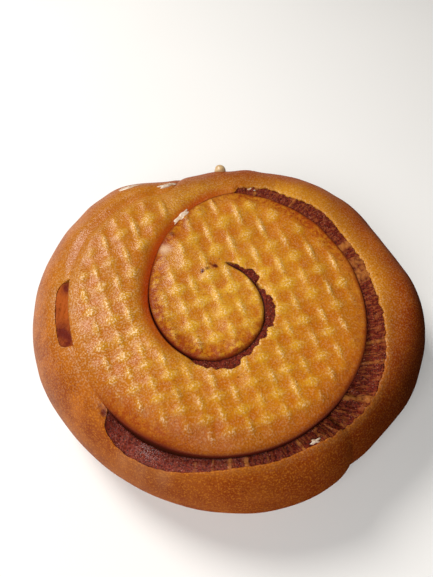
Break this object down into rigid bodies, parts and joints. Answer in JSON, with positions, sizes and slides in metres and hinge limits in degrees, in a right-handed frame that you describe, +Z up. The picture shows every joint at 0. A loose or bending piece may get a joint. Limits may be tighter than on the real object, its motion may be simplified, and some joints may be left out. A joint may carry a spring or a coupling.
{
  "type": "cinnamon roll",
  "caption": "Round flat-topped bun rolled from a strip of sweet dough, with a dark cinnamon filling in its spiral seam and a woven imprint baked into its glossy golden top.",
  "frame": {"origin": "middle of the flat base, at the level of the surface the roll lies on", "axes": "+Z up out of the flat top; +Y points away from the side of the roll where the seam's widest gape is, +X to the right of it"},
  "size_m": [0.1109, 0.1034, 0.0344],
  "materials": {
    "crust": "glazed golden bread crust, browner at the rim",
    "cinnamon": "grainy dark red-brown cinnamon and sugar"
  },
  "bodies": {
    "root": {"dough": "crust", "filling": "cinnamon"}
  },
  "joints": []
}
